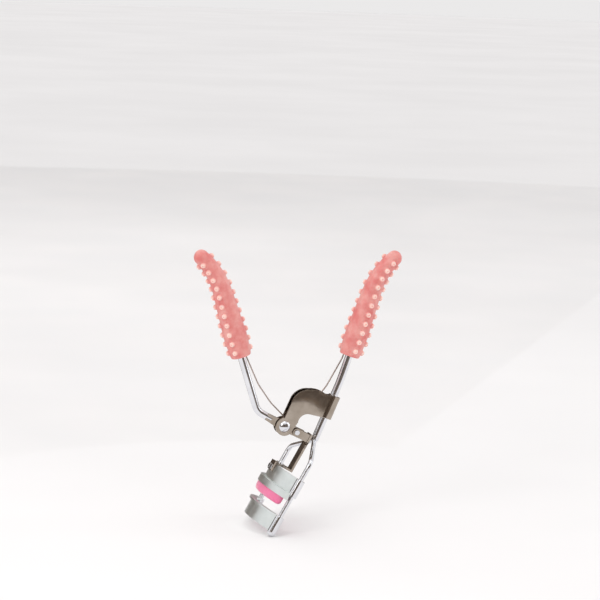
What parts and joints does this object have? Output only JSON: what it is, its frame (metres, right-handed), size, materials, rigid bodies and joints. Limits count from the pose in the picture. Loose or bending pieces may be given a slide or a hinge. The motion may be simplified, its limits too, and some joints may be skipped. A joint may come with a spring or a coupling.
{
  "type": "eyelash curler",
  "caption": "Spring-opened eyelash curler: a lever handle drives a padded curved jaw along a wire yoke against a fixed curved jaw, with studded sleeve grips.",
  "frame": {"origin": "centre of the overall box with the handles open", "axes": "+Z from the jaws towards the handles, +X from the moving handle to the fixed one, Y along the pivot rivet and across the jaws"},
  "size_m": [0.079, 0.0354, 0.1042],
  "materials": {
    "bright_chrome": "polished",
    "smoked_chrome": "polished, dark reflections",
    "satin_jaw": "satin nickel",
    "bush_brass": "turned",
    "spring_steel": "drawn wire",
    "pad_silicone": "smooth matt silicone",
    "grip_silicone": "soft satin silicone"
  },
  "bodies": {
    "frame": {"frame_yoke": "bright_chrome", "fixed_handle_rod": "bright_chrome", "bracket": "smoked_chrome", "pivot_rivet": "bright_chrome", "pivot_bush": "bush_brass", "rivet_washer": "bright_chrome", "fixed_jaw": "satin_jaw", "jaw_ferrule_front": "bright_chrome", "jaw_ferrule_rear": "bright_chrome", "arm_cap_front": "bright_chrome", "arm_cap_rear": "bright_chrome", "spring_coil_and_leg": "spring_steel", "fixed_grip": "grip_silicone"},
    "lever": {"lever_plate": "smoked_chrome", "lever_handle_rod": "bright_chrome", "lever_grip": "grip_silicone", "spring_lever_leg": "spring_steel"},
    "jaw_slide": {"push_stem": "smoked_chrome", "link_pin": "bright_chrome", "stem_rivets": "bright_chrome", "moving_jaw": "satin_jaw", "pad_channel": "satin_jaw", "silicone_pad": "pad_silicone", "slide_eye_front": "bright_chrome", "slide_eye_rear": "bright_chrome"}
  },
  "joints": [
    {"name": "lever_pivot", "type": "hinge", "parent": "frame", "child": "lever", "pos_m": [-0.0037, 0, -0.01388], "axis": [0, 1, 0], "range_deg": [0, 31.63], "stiffness_Nm_per_rad": 0.05, "springref_deg": -20.05},
    {"name": "jaw_travel", "type": "slide", "parent": "frame", "child": "jaw_slide", "axis": [-0.4772, 0, -0.8788], "range_m": [0, 0.0031]}
  ],
  "couplings": [
    {"joint": "jaw_travel", "follows": "lever_pivot", "m_per_rad": 0.0056155}
  ]
}
